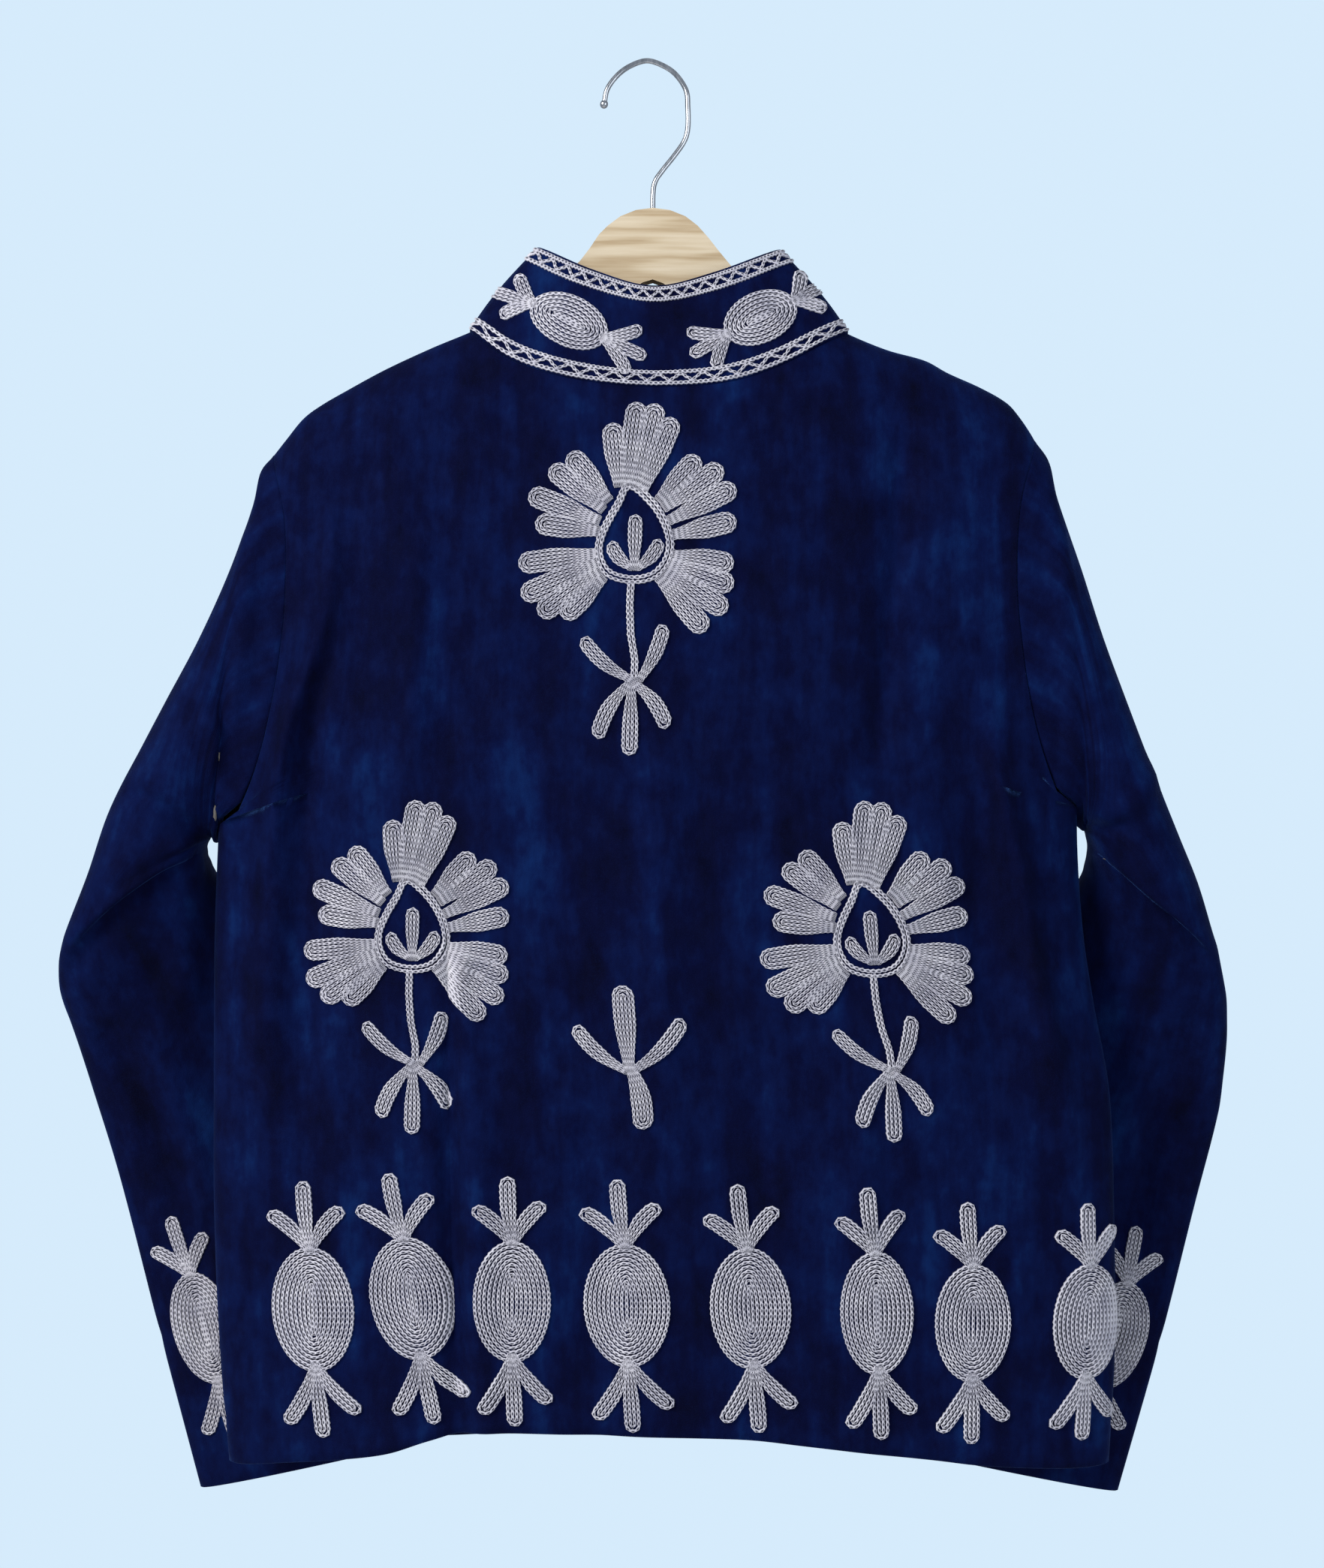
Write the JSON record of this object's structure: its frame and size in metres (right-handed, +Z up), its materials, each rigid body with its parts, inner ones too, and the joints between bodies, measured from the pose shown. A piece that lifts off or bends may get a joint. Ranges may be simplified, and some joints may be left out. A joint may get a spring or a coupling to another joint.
{
  "type": "embroidered jacket on a hanger",
  "caption": "Dark blue velvet jacket with a stand collar and thick wool flower embroidery, hung open on a wooden hanger with a wire hook.",
  "frame": {"origin": "inside the top of the hanger hook's bend, where a rod or a wall hook holds it", "axes": "+Z up, -Y out of the jacket's back, +X towards the wearer's right sleeve"},
  "size_m": [0.6776, 0.1024, 0.8321],
  "materials": {
    "velvet": "dark blue pile velvet",
    "wool_embroidery": "grey-lilac heathered wool chain stitch",
    "hanger_wood": "pale wood, satin",
    "hook_wire": "bright chromed wire"
  },
  "bodies": {
    "root": {"back": "velvet", "collar": "velvet", "front_left": "velvet", "front_right": "velvet", "hanger_hook": "hook_wire", "hanger_wood": "hanger_wood", "motif_back_flower_1": "wool_embroidery", "motif_back_flower_2": "wool_embroidery", "motif_back_flower_3": "wool_embroidery", "motif_back_pomegranate_1": "wool_embroidery", "motif_back_pomegranate_2": "wool_embroidery", "motif_back_pomegranate_3": "wool_embroidery", "motif_back_pomegranate_4": "wool_embroidery", "motif_back_pomegranate_5": "wool_embroidery", "motif_back_pomegranate_6": "wool_embroidery", "motif_back_pomegranate_7": "wool_embroidery", "motif_back_pomegranate_8": "wool_embroidery", "motif_back_sprig": "wool_embroidery", "motif_collar_pomegranate_1": "wool_embroidery", "motif_collar_pomegranate_2": "wool_embroidery", "motif_cuff_left_pomegranate_1": "wool_embroidery", "motif_cuff_right_pomegranate_1": "wool_embroidery", "motif_front_left_flower": "wool_embroidery", "motif_front_left_pomegranate_1": "wool_embroidery", "motif_front_left_pomegranate_2": "wool_embroidery", "motif_front_right_flower": "wool_embroidery", "motif_front_right_pomegranate_1": "wool_embroidery", "motif_front_right_pomegranate_2": "wool_embroidery", "sleeve_left": "velvet", "sleeve_left_forearm": "velvet", "sleeve_right": "velvet", "sleeve_right_forearm": "velvet"}
  },
  "joints": []
}
